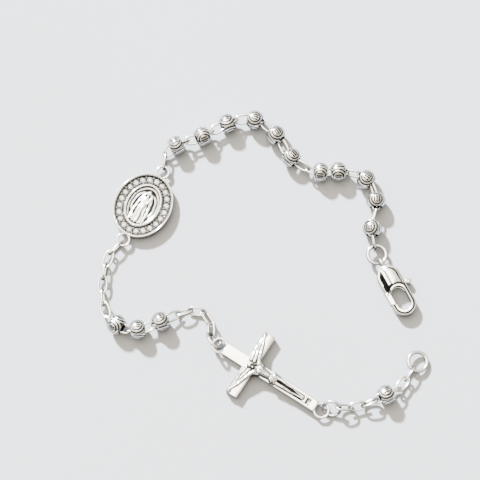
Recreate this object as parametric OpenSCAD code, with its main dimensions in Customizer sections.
/* [Chain] */
// Outer length of a chain link
link_length = 3.9; // [3.8:0.05:4]
// Outer width of a chain link
link_width = 2.2; // [2:0.05:2.2]
// Wire of the chain links
link_wire = 0.44; // [0.4:0.01:0.46]

/* [Beads] */
// Diameter of a bead
bead_size = 4; // [3.9:0.05:4]
// Hole through a bead
bead_hole = 2.7; // [2.7:0.05:2.8]
// Width of the grooves cut round the sides of a bead
groove_width = 0.32; // [0.2:0.02:0.4]

/* [Jump rings] */
// Outer diameter of the clasp's ring
clasp_ring_size = 4.5; // [4.4:0.05:4.6]
// Outer diameter of the ring over the crucifix
ring_size = 4.5; // [4.4:0.05:4.6]
// Outer diameter of the ring below the crucifix
small_ring_size = 4.1; // [4:0.05:4.2]
// Outer diameter of the ring that the clasp hooks into
end_ring_size = 4.6; // [4.4:0.1:4.8]
// Wire of the clasp's ring and of the ring that the clasp hooks into
thick_ring_wire = 0.74; // [0.7:0.02:0.76]
// Wire of the two rings at the crucifix
ring_wire = 0.62; // [0.58:0.02:0.64]

/* [Medal] */
// Length of the medal's oval, without its rings
medal_length = 14.1; // [14:0.1:14.4]
// Width of the medal's oval
medal_width = 11.9; // [11.6:0.1:12]
// Thickness at the medal's outer rim
medal_height = 2; // [1.9:0.1:2.2]
// Number of stones round the medal
stone_count = 22; // [20:1:22]
// Diameter of a stone
stone_size = 1.2; // [1:0.05:1.2]

/* [Crucifix] */
// Length of the upright, without its rings
beam_length = 21.8; // [21.6:0.1:22.4]
// Width of the upright
beam_width = 2.4; // [2.2:0.1:2.6]
// Length of the crossbar
bar_length = 14.4; // [14:0.1:15]
// Width of the crossbar
bar_width = 2.5; // [2.4:0.1:2.6]
// Thickness of the upright and the crossbar
beam_height = 1.7; // [1.6:0.1:1.8]

/* [Clasp] */
// Length from the clasp's loop to its tip
clasp_length = 12; // [12:0.1:12.4]
// Width of the clasp's shell
clasp_width = 4.8; // [4.7:0.1:4.9]
// Diameter of the lever's pivot pin
pin_size = 0.8; // [0.7:0.05:0.8]
// Clearance between the lever and the clasp
lever_gap = 0.15; // [0.12:0.01:0.18]

/* [Lie on the table] */
// Clasp's loop hole, along x
clasp_x = 24.1; // [24:0.05:24.2]
// Clasp's loop hole, along y
clasp_y = -0.32; // [-0.4:0.02:-0.3]
// Heading of the clasp
clasp_turn = -62; // [-63:1:-61]
// Middle of the medal, along x
medal_x = -24.3; // [-24.35:0.05:-24.25]
// Middle of the medal, along y
medal_y = 11.83; // [11.8:0.01:11.9]
// Heading of the medal's upper ring
medal_turn = 61; // [60:1:62]
// Top end of the crucifix, along x
crucifix_x = -7.6; // [-7.65:0.05:-7.55]
// Top end of the crucifix, along y
crucifix_y = -17.77; // [-17.8:0.01:-17.7]
// Heading of the crucifix's foot
crucifix_turn = -33; // [-34:1:-32]

/* [Hidden] */
$fn = 24;
silver = [0.82, 0.82, 0.80];
bright = [0.92, 0.92, 0.90];
glass = [0.80, 0.90, 0.95];
bead_grip = 0.45;
curve_steps = 8;

// Routes of the chain's centre line, from ring to ring: x, y, z
upper_route = [
    [22.9, 2.93, 1.6], [22.2, 6.83, 2.06], [23.4, 12.83, 2], [21.5, 17.33, 2], [15.6, 19.03, 2],
    [11.9, 18.43, 2], [5.9, 21.83, 2], [2.8, 27.03, 2], [-1.7, 30.23, 2], [-7.4, 29.13, 2],
    [-12.4, 26.13, 2], [-18.2, 24.53, 2.1], [-19.9, 22.33, 1.35], [-20.12, 19.93, 1.05]
];
lower_route = [
    [-28.87, 3.85, 1.14], [-31, 1.53, 1.1], [-32.22, -3.07, 1.11], [-32.22, -7.67, 1.12],
    [-31.6, -10.27, 1.5], [-29.8, -12.97, 2.08], [-25.6, -14.37, 2], [-20.9, -12.67, 2.15],
    [-16, -10.37, 1.2], [-13.4, -9.87, 1.1], [-11.4, -10.77, 1.1], [-10.3, -12.77, 1.2],
    [-10.17, -15.3, 1.3]
];
tail_route = [
    [15.05, -29.83, 2.15], [19.2, -29.57, 1.4], [24.8, -27.27, 2.18], [27.5, -25.67, 1.5],
    [29.3, -23.25, 1.3], [30.32, -21.92, 1.25]
];
upper_links = 24;
lower_links = 16;
tail_links = 7;

// Roll of a strand's first and last link about the route, so that each hooks its ring
upper_roll = [90, 90];
lower_roll = [90, 46];
tail_roll = [-46, 90];

// The beads of each strand: how many links from the strand's start, and roll about the chain
upper_beads = [
    [1.45, 20], [3.6, 75], [5.45, 140], [7.65, 200], [9, 30],
    [11.5, 260], [13.6, 310], [15.6, 45], [17.7, 100], [19.8, 150], [21.9, 350]
];
lower_beads = [[7.04, 25], [8.75, 110], [10.56, 330]];
tail_beads = [[3.9, 60]];

function unit(v) = v / norm(v);
function heading(p, i) = unit(p[min(i + 1, len(p) - 1)] - p[max(i - 1, 0)]);

// Smooth curve through the points of a route
function span_point(p, i, t) =
    let (reach = norm(p[i + 1] - p[i]))
    (2 * t * t * t - 3 * t * t + 1) * p[i] + (t * t * t - 2 * t * t + t) * reach * heading(p, i)
    + (3 * t * t - 2 * t * t * t) * p[i + 1] + (t * t * t - t * t) * reach * heading(p, i + 1);
function curve(p) = concat(
    [for (i = [0 : len(p) - 2], k = [0 : curve_steps - 1]) span_point(p, i, k / curve_steps)],
    [p[len(p) - 1]]
);
function run_lengths(c) = [for (i = 0, s = 0; i < len(c); s = s + (i + 1 < len(c) ? norm(c[i + 1] - c[i]) : 0),
    i = i + 1) s];

// Points where one link hangs in the next, evenly spaced along a route
function joints(route, links) =
    let (c = curve(route), s = run_lengths(c), last = len(c) - 1,
        x = [for (i = [0 : last]) [s[i], c[i][0]]],
        y = [for (i = [0 : last]) [s[i], c[i][1]]],
        z = [for (i = [0 : last]) [s[i], c[i][2]]])
    [for (k = [0 : links]) let (d = s[last] * k / links) [lookup(d, x), lookup(d, y), lookup(d, z)]];

// Turns the x axis to the direction v
module aim(v) {
    rotate([0, -asin(v[2] / norm(v)), atan2(v[1], v[0])]) children();
}

module torus(outer, wire) {
    rotate_extrude() translate([(outer - wire) / 2, 0]) circle(d = wire);
}

module link() {
    side = link_length - link_width;
    bend = (link_width - link_wire) / 2;
    for (k = [-1, 1]) {
        translate([k * side / 2, 0, 0]) rotate([0, 0, -90 * k])
            rotate_extrude(angle = 180) translate([bend, 0]) circle(d = link_wire);
        translate([-side / 2, k * bend, 0]) rotate([0, 90, 0]) cylinder(d = link_wire, h = side);
    }
}

// Links in a row, each turned a quarter from the last, with what twist the end rolls need
module chain(route, links, roll) {
    j = joints(route, links);
    odd = roll[1] - roll[0] - 90 * (links - 1);
    twist = (odd - 180 * round(odd / 180)) / (links - 1);
    for (i = [0 : links - 1])
        translate((j[i] + j[i + 1]) / 2) aim(j[i + 1] - j[i]) rotate([roll[0] + (90 + twist) * i, 0, 0]) link();
}

module upper_chain() {
    color(silver) chain(upper_route, upper_links, upper_roll);
}

module lower_chain() {
    color(silver) chain(lower_route, lower_links, lower_roll);
}

module tail_chain() {
    color(silver) chain(tail_route, tail_links, tail_roll);
}

// Drilled ball with two dishes cut in its sides, each with two rings round it
module bead() {
    difference() {
        sphere(d = bead_size, $fn = 48);
        rotate([0, 90, 0]) cylinder(d = bead_hole, h = 2 * bead_size, center = true);
        for (side = [0, 180], rho = [0.45, 0.9, 1.3])
            rotate([side, 0, 0]) rotate([0, 15, 0])
                translate([0, 0, sqrt(bead_size * bead_size / 4 - rho * rho)])
                    torus(2 * rho + groove_width, groove_width);
    }
}

// Point at a number of links from the start of a chain's joints
function on_chain(j, station) =
    let (i = min(floor(station), len(j) - 2), t = station - i) (1 - t) * j[i] + t * j[i + 1];

// Bead threaded on a chain, in line with the links inside it
module strung_bead(bead_row, route, links) {
    j = joints(route, links);
    before = on_chain(j, bead_row[0] - bead_grip);
    after = on_chain(j, bead_row[0] + bead_grip);
    color(bright) translate((before + after) / 2) aim(after - before) rotate([bead_row[1], 0, 0]) bead();
}

// Raised form along x with an arched section at each row: x, y, half width and height of its top.
// Its flat underside lies at base.
module relief(rows, base, sides = 10) {
    last = len(rows) - 1;
    n = sides + 1;
    points = [for (r = rows, k = [0 : sides]) let (a = k * 180 / sides)
        [r[0], r[1] + r[2] * cos(a), base + (r[3] - base) * sin(a)]];
    skin = [for (i = [0 : last - 1], k = [0 : sides]) let (m = (k + 1) % n)
        [i * n + k, (i + 1) * n + k, (i + 1) * n + m, i * n + m]];
    start = [for (k = [0 : sides]) k];
    finish = [for (k = [sides : -1 : 0]) last * n + k];
    polyhedron(points, concat(skin, [start, finish]), convexity = 4);
}

// Raised ball-like form: centre x and y, half length, half width and height of its top
module dome(x, y, half_l, half_w, top, base) {
    relief([for (i = [0 : 6]) let (a = -80 + i * 160 / 6)
        [x + half_l * sin(a), y, half_w * cos(a), base + (top - base) * cos(a)]], base);
}

function oval(a, b, n = 60) = [for (i = [0 : n - 1]) [a * cos(i * 360 / n), b * sin(i * 360 / n)]];

module oval_plate(a, b, z0, z1) {
    translate([0, 0, z0]) linear_extrude(z1 - z0) polygon(oval(a, b));
}

module oval_wall(a, b, wall, z0, z1) {
    difference() {
        oval_plate(a, b, z0, z1);
        oval_plate(a - wall, b - wall, z0 - 1, z1 + 1);
    }
}

module clasp_ring() {
    color(silver) translate([23.28, 1.47, 1.6]) rotate([0, 7, 0]) torus(clasp_ring_size, thick_ring_wire);
}

module end_ring() {
    color(silver) translate([31.08, -20.47, 1.11]) rotate([1, 11, 0]) torus(end_ring_size, thick_ring_wire);
}

module crucifix_ring_upper() {
    color(silver) translate([-9.53, -16.47, 2.09]) rotate([0, -27, -66]) rotate([-59, 0, 0])
        torus(ring_size, ring_wire);
}

module crucifix_ring_lower() {
    color(silver) translate([13.75, -30.01, 1.64]) rotate([0, -21.3, 8]) rotate([44, 0, 0])
        torus(small_ring_size, ring_wire);
}

// Medal: x runs to its upper ring, y across, the back lies on z = 0
rim_a = medal_length / 2;
rim_b = medal_width / 2;
rim_wall = 0.45;
band_width = 1.85;
inner_a = rim_a - rim_wall - band_width;
inner_b = rim_b - rim_wall - band_width;
inner_wall = 0.55;
band_z = 1.5;
recess_z = 1.1;
stone_a = rim_a - rim_wall - band_width / 2;
stone_b = rim_b - rim_wall - band_width / 2;
seat_gap = 0.05;
girdle_z = band_z + 0.08;
end_ring_reach = rim_a + 1.08;
end_ring_r = 1.5;
end_ring_wall = 0.46;
end_ring_height = 0.74;
end_ring_z = 1.1;

// Angles that space n marks evenly along an oval
function oval_walk(a, b, steps) = [for (i = 0, s = 0; i <= steps;
    s = s + norm([a * (cos((i + 1) * 360 / steps) - cos(i * 360 / steps)),
        b * (sin((i + 1) * 360 / steps) - sin(i * 360 / steps))]), i = i + 1) [s, i * 360 / steps]];
function even_angles(a, b, n) =
    let (walk = oval_walk(a, b, 180), whole = walk[180][0]) [for (k = [0 : n - 1]) lookup(whole * k / n, walk)];
stone_angles = even_angles(stone_a, stone_b, stone_count);
prong_angles = even_angles(stone_a, stone_b, 2 * stone_count);

module at_medal() {
    translate([medal_x, medal_y, 0]) rotate([0, 0, medal_turn]) children();
}

// Small ring at the medal's end, a tube with rounded edges
module medal_eye() {
    edge = end_ring_wall / 2;
    translate([0, 0, end_ring_z]) rotate_extrude() {
        for (k = [-1, 1])
            translate([end_ring_r - edge, k * (end_ring_height / 2 - edge)]) circle(r = edge);
        translate([end_ring_r - end_ring_wall, edge - end_ring_height / 2])
            square([end_ring_wall, end_ring_height - 2 * edge]);
    }
}

// Standing robed and veiled woman in relief, her head toward the upper ring
module medal_figure() {
    base = recess_z - 0.2;
    relief([[-3.2, 0, 0.7, 1.5], [-2.4, 0, 0.85, 1.65], [-1, 0, 0.95, 1.78], [0.3, 0, 1, 1.82],
        [1.2, 0, 0.86, 1.8], [1.75, 0, 0.6, 1.65], [2, 0, 0.34, 1.55]], base);
    dome(2.42, 0, 0.52, 0.36, 1.85, base);
    dome(2.45, 0, 0.85, 0.62, 1.55, base);
    for (side = [-1, 1])
        relief([[0.2, 0.55 * side, 0.2, 1.85], [0.9, 0.3 * side, 0.2, 1.95], [1.35, 0.1 * side, 0.14, 1.95]],
            base, 6);
}

module medal() {
    color(silver) at_medal() {
        difference() {
            union() {
                oval_plate(rim_a, rim_b, 0, recess_z);
                oval_wall(rim_a, rim_b, rim_wall, recess_z - 0.2, medal_height);
                oval_wall(rim_a - rim_wall + 0.05, rim_b - rim_wall + 0.05, band_width, recess_z - 0.2, band_z);
                oval_wall(inner_a, inner_b, inner_wall, recess_z - 0.2, medal_height);
                for (side = [-1, 1]) translate([side * end_ring_reach, 0, 0]) medal_eye();
            }
            for (t = stone_angles)
                translate([stone_a * cos(t), stone_b * sin(t), band_z - 0.62])
                    cylinder(d = stone_size + 2 * seat_gap, h = 2, $fn = 24);
        }
        for (i = [0 : stone_count - 1], out = [-0.52, 0.52])
            let (t = prong_angles[2 * i + 1])
            translate([(stone_a + out) * cos(t), (stone_b + out) * sin(t), band_z - 0.1])
                cylinder(d = 0.36, h = 0.4, $fn = 6);
        medal_figure();
        for (side = [-1, 1], row = [1, 2, 3])
            let (y = 0.95 + 0.45 * row,
                 half = (inner_a - inner_wall) * sqrt(1 - pow(y / (inner_b - inner_wall + 0.25), 2)))
            translate([-half, side * y - 0.08, recess_z - 0.1]) cube([2 * half, 0.16, 0.3]);
    }
}

// Brilliant with an eight-sided table, a crown of sixteen facets and a pavilion of eight
module stone() {
    r = stone_size / 2;
    rings = [[0.3, 0.58, 0], [0.05, 1, 22.5], [-0.03, 1, 22.5]];
    points = concat(
        [for (g = rings, k = [0 : 7]) let (a = k * 45 + g[2]) [r * g[1] * cos(a), r * g[1] * sin(a), g[0]]],
        [[0, 0, -0.5]]
    );
    faces = concat(
        [[for (k = [7 : -1 : 0]) k]],
        [for (k = [0 : 7]) let (m = (k + 1) % 8) [k, m, 8 + k]],
        [for (k = [0 : 7]) let (m = (k + 1) % 8) [m, 8 + m, 8 + k]],
        [for (k = [0 : 7]) let (m = (k + 1) % 8) [8 + k, 8 + m, 16 + m, 16 + k]],
        [for (k = [0 : 7]) let (m = (k + 1) % 8) [16 + k, 16 + m, 24]]
    );
    polyhedron(points, faces);
}

module medal_stones() {
    color(glass) at_medal()
        for (t = stone_angles) translate([stone_a * cos(t), stone_b * sin(t), girdle_z]) rotate([0, 0, t]) stone();
}

// Crucifix: x runs down the upright from its top end, y along the crossbar, the back lies on z = 0
cross_at = 6.25;
corner_r = 1.2;
panel_depth = 0.25;
panel_width = beam_width - 0.8;
eye_size = 3.4;
eye_wire = 0.54;
eye_z = 1.1;
top_eye_x = -1.12;
foot_eye_x = beam_length + 1.2;

module at_crucifix() {
    translate([crucifix_x, crucifix_y, 0]) rotate([0, 0, crucifix_turn]) children();
}

module cross_outline() {
    translate([0, -beam_width / 2]) square([beam_length, beam_width]);
    translate([cross_at - bar_width / 2, -bar_length / 2]) square([bar_width, bar_length]);
    for (side = [-1, 1]) difference() {
        translate([cross_at + bar_width / 2 - 0.1, side > 0 ? beam_width / 2 - 0.1 : -beam_width / 2 - corner_r])
            square(corner_r + 0.1);
        translate([cross_at + bar_width / 2 + corner_r, side * (beam_width / 2 + corner_r)]) circle(r = corner_r);
    }
}

module crucifix_arm() {
    rotate([0, 0, 90])
        relief([[0.37, -7.3, 1.1, 2.9], [1.3, -6.65, 1.3, 2.85], [2.6, -6.3, 1.15, 2.65], [4.2, -5.9, 0.85, 2.4],
            [5.7, -5.55, 0.5, 2.2], [6.4, -5.4, 0.36, 2.1], [6.9, -5.35, 0.2, 2]], beam_height - 0.3);
}

module crucifix_leg() {
    relief([[12, 0.45, 0.5, 2.62], [13.4, 0.46, 0.46, 2.76], [14.7, 0.44, 0.4, 2.88], [15.8, 0.4, 0.38, 2.56],
        [17.4, 0.32, 0.32, 2.4], [18.4, 0.24, 0.24, 2.29], [19.4, 0.2, 0.26, 2.27], [20, 0.2, 0.2, 2]],
        beam_height - 0.4);
}

// Traditional figure with its arms spread, head bowed to one side, a cloth at the hips
module crucifix_figure() {
    base = beam_height - 0.4;
    relief([[7.4, 0, 0.95, 2.7], [8.1, 0, 1.15, 2.98], [9.1, 0, 1.08, 3.07], [10.2, 0, 0.86, 2.85],
        [11, 0, 0.95, 2.9], [12.2, 0, 1.02, 2.93]], base);
    relief([[10.5, 0, 1, 2.95], [11.1, 0.05, 1.18, 3.1], [12.2, 0.1, 1.2, 3.1], [13, 0.1, 1.05, 2.9]], base);
    dome(6.5, -0.3, 0.95, 0.68, 3.15, base);
    for (side = [0, 1]) mirror([0, side, 0]) {
        crucifix_arm();
        crucifix_leg();
    }
    relief([[19.5, 0, 0.62, 1.9], [20.6, 0, 0.62, 1.9]], base);
}

module crucifix() {
    color(bright) at_crucifix() {
        difference() {
            linear_extrude(beam_height) cross_outline();
            translate([9, -panel_width / 2, beam_height - panel_depth]) cube([beam_length - 9.8, panel_width, 1]);
        }
        for (x = [top_eye_x, foot_eye_x]) translate([x, 0, eye_z]) torus(eye_size, eye_wire);
        crucifix_figure();
    }
}

// Clasp: x runs from the loop's hole to the tip, y to the thumb knob, the back lies on z = 0
half_w = clasp_width / 2;
tip_x = clasp_length - half_w;
shell_z = 2.2;
plate_z = 0.4;
mouth_r = 1.45;
mouth_y = 0.1;
mouth_x0 = 7.15;
mouth_x1 = 9.35;
gate_in = -1.35;
loop_size = 2.6;
loop_wire = 0.72;
loop_z = 1.5;
pivot = [4, -0.5];
hub_r = 0.9;
arm_w = 0.8;
knob_at = [5.75, 3.1];
knob_size = 1.2;
gate_reach = 4.93;
lever_z0 = plate_z + lever_gap;
lever_z1 = shell_z - plate_z - lever_gap;
arm_turn = 22;

module at_clasp() {
    translate([clasp_x, clasp_y, 0]) rotate([0, 0, clasp_turn]) children();
}

module shell_outline() {
    polygon([[0.8, -0.9], [1.1, -1.7], [2, -2.15], [3.5, -half_w], [tip_x, -half_w], [tip_x, half_w],
        [3.5, half_w], [2, 2.15], [1.1, 1.7], [0.8, 0.9]]);
    translate([tip_x, 0]) circle(r = half_w, $fn = 48);
}

module mouth_outline() {
    for (x = [mouth_x0, mouth_x1]) translate([x, mouth_y]) circle(r = mouth_r, $fn = 32);
    translate([mouth_x0, mouth_y - mouth_r]) square([mouth_x1 - mouth_x0, 2 * mouth_r]);
}

// Bar of width w from a to b with round ends
module bar(a, b, w) {
    translate(a) circle(d = w);
    translate(b) circle(d = w);
    translate(a) rotate(atan2(b[1] - a[1], b[0] - a[0])) translate([0, -w / 2]) square([norm(b - a), w]);
}

// Room that the lever sweeps inside the shell
module lever_room() {
    translate(pivot) circle(r = hub_r + lever_gap);
    polygon([[3.1, -1.3], [3.1, 1], [3.45, half_w + 1], [6.3, half_w + 1], [6.05, 1.7], [7, 1.2], [7, gate_in - 0.4],
        [7, -half_w - 1], [4.3, -half_w - 1], [3.6, -1.6]]);
}

// Gap in the frame that the gate closes
module gate_gap() {
    intersection() {
        translate([5.8, -half_w - 1]) square([4, half_w + 1 + gate_in + 0.3]);
        translate(pivot) circle(r = gate_reach + lever_gap, $fn = 48);
    }
}

module lever_outline() {
    translate(pivot) circle(r = hub_r);
    intersection() {
        polygon([[4.5, -half_w], [9.5, -half_w], [9.5, gate_in - 0.05], [5.6, gate_in - 0.05], [4.6, -0.2],
            [4, -0.5], [3.9, -1.35]]);
        translate(pivot) circle(r = gate_reach, $fn = 48);
    }
    bar(pivot, knob_at, arm_w);
}

// Domed front of the clasp, with a pointed corner on the gate's side
module clasp_hood() {
    base = shell_z - 0.2;
    relief([[0.9, 0, 0.85, 2.5], [1.3, 0, 1.45, 2.95], [2.2, 0, 1.8, 3.25], [3.6, 0, 1.95, 3.4],
        [5, 0, 1.95, 3.35], [5.7, 0.1, 1.85, 3.2]], base, 14);
    relief([[5.2, -1.05, 0.8, 3.15], [6, -1.3, 0.5, 2.85], [6.6, -1.5, 0.15, 2.3]], base);
}

module clasp_body() {
    color(bright) at_clasp() {
        difference() {
            linear_extrude(shell_z) shell_outline();
            translate([0, 0, -1]) linear_extrude(shell_z + 2) mouth_outline();
            translate([0, 0, -1]) linear_extrude(shell_z + 2) gate_gap();
            translate([0, 0, plate_z]) linear_extrude(shell_z - 2 * plate_z) lever_room();
        }
        translate([pivot[0], pivot[1], plate_z - 0.1]) cylinder(d = pin_size, h = shell_z - 2 * plate_z + 0.2);
        translate([0, 0, loop_z]) rotate([90, 0, 0]) torus(loop_size, loop_wire);
        clasp_hood();
    }
}

module clasp_lever() {
    color(silver) at_clasp() difference() {
        union() {
            translate([0, 0, lever_z0]) linear_extrude(lever_z1 - lever_z0) lever_outline();
            translate([knob_at[0], knob_at[1], lever_z0]) cylinder(d = knob_size, h = lever_z1 - lever_z0);
        }
        translate([pivot[0], pivot[1], 0]) cylinder(d = pin_size + 0.1, h = 3);
    }
}

clasp_body();
clasp_lever();
crucifix();
medal();
medal_stones();
clasp_ring();
end_ring();
crucifix_ring_upper();
crucifix_ring_lower();
upper_chain();
lower_chain();
tail_chain();
strung_bead(upper_beads[0], upper_route, upper_links);  // bead_01
strung_bead(upper_beads[1], upper_route, upper_links);  // bead_02
strung_bead(upper_beads[2], upper_route, upper_links);  // bead_03
strung_bead(upper_beads[3], upper_route, upper_links);  // bead_04
strung_bead(upper_beads[4], upper_route, upper_links);  // bead_05
strung_bead(upper_beads[5], upper_route, upper_links);  // bead_06
strung_bead(upper_beads[6], upper_route, upper_links);  // bead_07
strung_bead(upper_beads[7], upper_route, upper_links);  // bead_08
strung_bead(upper_beads[8], upper_route, upper_links);  // bead_09
strung_bead(upper_beads[9], upper_route, upper_links);  // bead_10
strung_bead(upper_beads[10], upper_route, upper_links);  // bead_11
strung_bead(lower_beads[0], lower_route, lower_links);  // bead_12
strung_bead(lower_beads[1], lower_route, lower_links);  // bead_13
strung_bead(lower_beads[2], lower_route, lower_links);  // bead_14
strung_bead(tail_beads[0], tail_route, tail_links);  // bead_15
